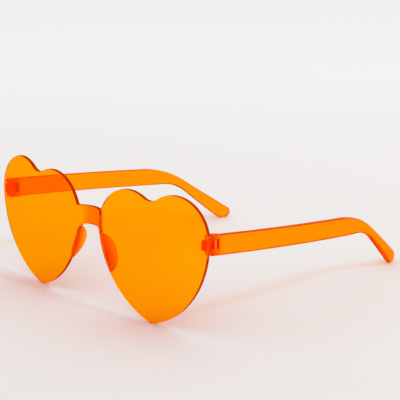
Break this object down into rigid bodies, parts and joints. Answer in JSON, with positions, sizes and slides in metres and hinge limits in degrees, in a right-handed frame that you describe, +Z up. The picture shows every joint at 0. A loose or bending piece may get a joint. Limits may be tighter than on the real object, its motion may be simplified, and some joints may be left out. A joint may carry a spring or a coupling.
{
  "type": "heart shaped sunglasses",
  "caption": "Rimless sunglasses in clear tinted plastic: a one-piece front of joined hearts, bonded nose pads and folding temples on pinned hinges.",
  "frame": {"origin": "under the middle of the open glasses, on the surface that they stand on", "axes": "+X to the wearer's left, +Y back along the temples, +Z up"},
  "size_m": [0.1424, 0.1512, 0.0598],
  "materials": {
    "front": "clear orange tinted plastic, polished",
    "pads": "clear orange tinted plastic, polished",
    "lugs": "clear orange tinted plastic, polished",
    "temples": "clear orange tinted plastic, polished",
    "pins": "clear orange tinted plastic"
  },
  "bodies": {
    "front": {"lens_front": "front", "nose_pad_left": "pads", "nose_pad_right": "pads", "hinge_lug_left": "lugs", "hinge_lug_right": "lugs"},
    "temple_left": {"temple_left": "temples", "hinge_pin_left": "pins"},
    "temple_right": {"temple_right": "temples", "hinge_pin_right": "pins"}
  },
  "joints": [
    {"name": "temple_left_fold", "type": "hinge", "parent": "front", "child": "temple_left", "pos_m": [0.0676, -0.06589, 0.0409], "axis": [0, 0, 1], "range_deg": [0, 87]},
    {"name": "temple_right_fold", "type": "hinge", "parent": "front", "child": "temple_right", "pos_m": [-0.0676, -0.06589, 0.0409], "axis": [0, 0, -1], "range_deg": [0, 80]}
  ]
}
